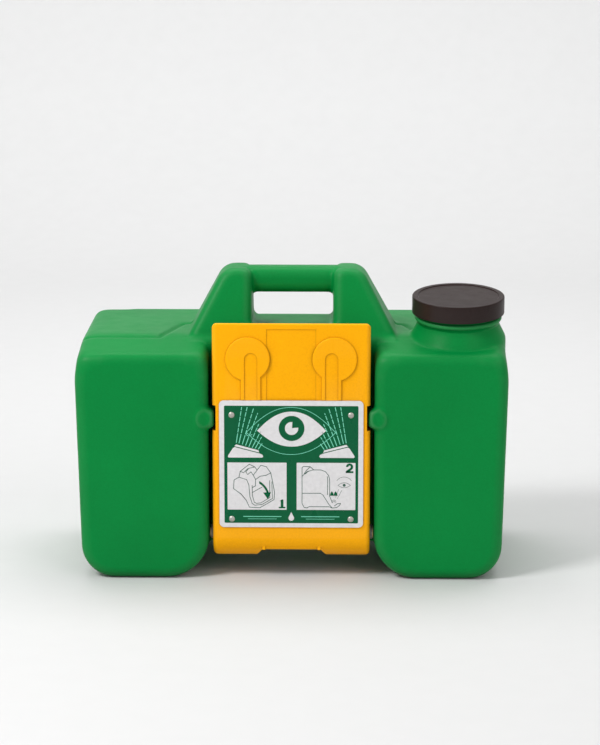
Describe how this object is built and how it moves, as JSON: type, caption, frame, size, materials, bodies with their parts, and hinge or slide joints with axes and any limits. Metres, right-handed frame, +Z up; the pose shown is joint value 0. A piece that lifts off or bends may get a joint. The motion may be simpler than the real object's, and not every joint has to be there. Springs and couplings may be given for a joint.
{
  "type": "eyewash station",
  "caption": "Portable gravity-fed eyewash tank with a carrying handle, a screw cap and a front spray arm that hinges down to open its valve.",
  "frame": {"origin": "on the floor under the middle of the tank's box", "axes": "+X to the right as seen from the front, -Y out of the front, +Z up"},
  "size_m": [0.5598, 0.27, 0.396],
  "materials": {
    "tank": "satin moulded polyethylene",
    "cap": "satin moulded plastic",
    "seal_rubber": "soft matt rubber",
    "arm": "satin moulded plastic",
    "label": "printed plastic plate",
    "rivet": "satin",
    "steel": "satin stainless steel",
    "bushing": "natural nylon",
    "brass": "machined brass",
    "fitting": "moulded nylon",
    "rotor": "moulded acetal",
    "hose": "flexible tube",
    "head": "moulded plastic",
    "foam": "open-cell foam",
    "diffuser": "moulded plastic"
  },
  "bodies": {
    "tank": {"tank_shell": "tank", "hinge_pins": "steel", "hinge_washers": "bushing", "pin_inserts": "brass", "valve_body": "fitting", "outlet_gasket": "seal_rubber", "outlet_nut": "fitting"},
    "spray_arm": {"arm_shell": "arm", "label_plate": "label", "label_rivets": "rivet", "hinge_bushings": "bushing", "valve_rotor": "rotor", "rotor_seals": "seal_rubber", "hose_clamps": "steel", "head_screws": "steel", "hose_elbow_left": "fitting", "hose_left": "hose", "spray_body_left": "head", "spray_filter_left": "foam", "spray_diffuser_left": "diffuser", "spray_ring_left": "head", "hose_elbow_right": "fitting", "hose_right": "hose", "spray_body_right": "head", "spray_filter_right": "foam", "spray_diffuser_right": "diffuser", "spray_ring_right": "head"},
    "cap_ring": {"cap_seal": "seal_rubber"},
    "screw_cap": {"cap": "cap"}
  },
  "joints": [
    {"name": "arm_swing", "type": "hinge", "parent": "tank", "child": "spray_arm", "pos_m": [0, -0.101, 0.0565], "axis": [1, 0, 0], "range_deg": [0, 90]},
    {"name": "cap_rise", "type": "slide", "parent": "tank", "child": "cap_ring", "axis": [0, -0.1045, 0.9945], "range_m": [0, 0.01205]},
    {"name": "cap_turn", "type": "hinge", "parent": "cap_ring", "child": "screw_cap", "pos_m": [0.216, -0.058, 0.312], "axis": [0, -0.1045, 0.9945], "range_deg": [0, 720]}
  ],
  "couplings": [
    {"joint": "cap_rise", "follows": "cap_turn", "m_per_rad": 0.00095493}
  ]
}
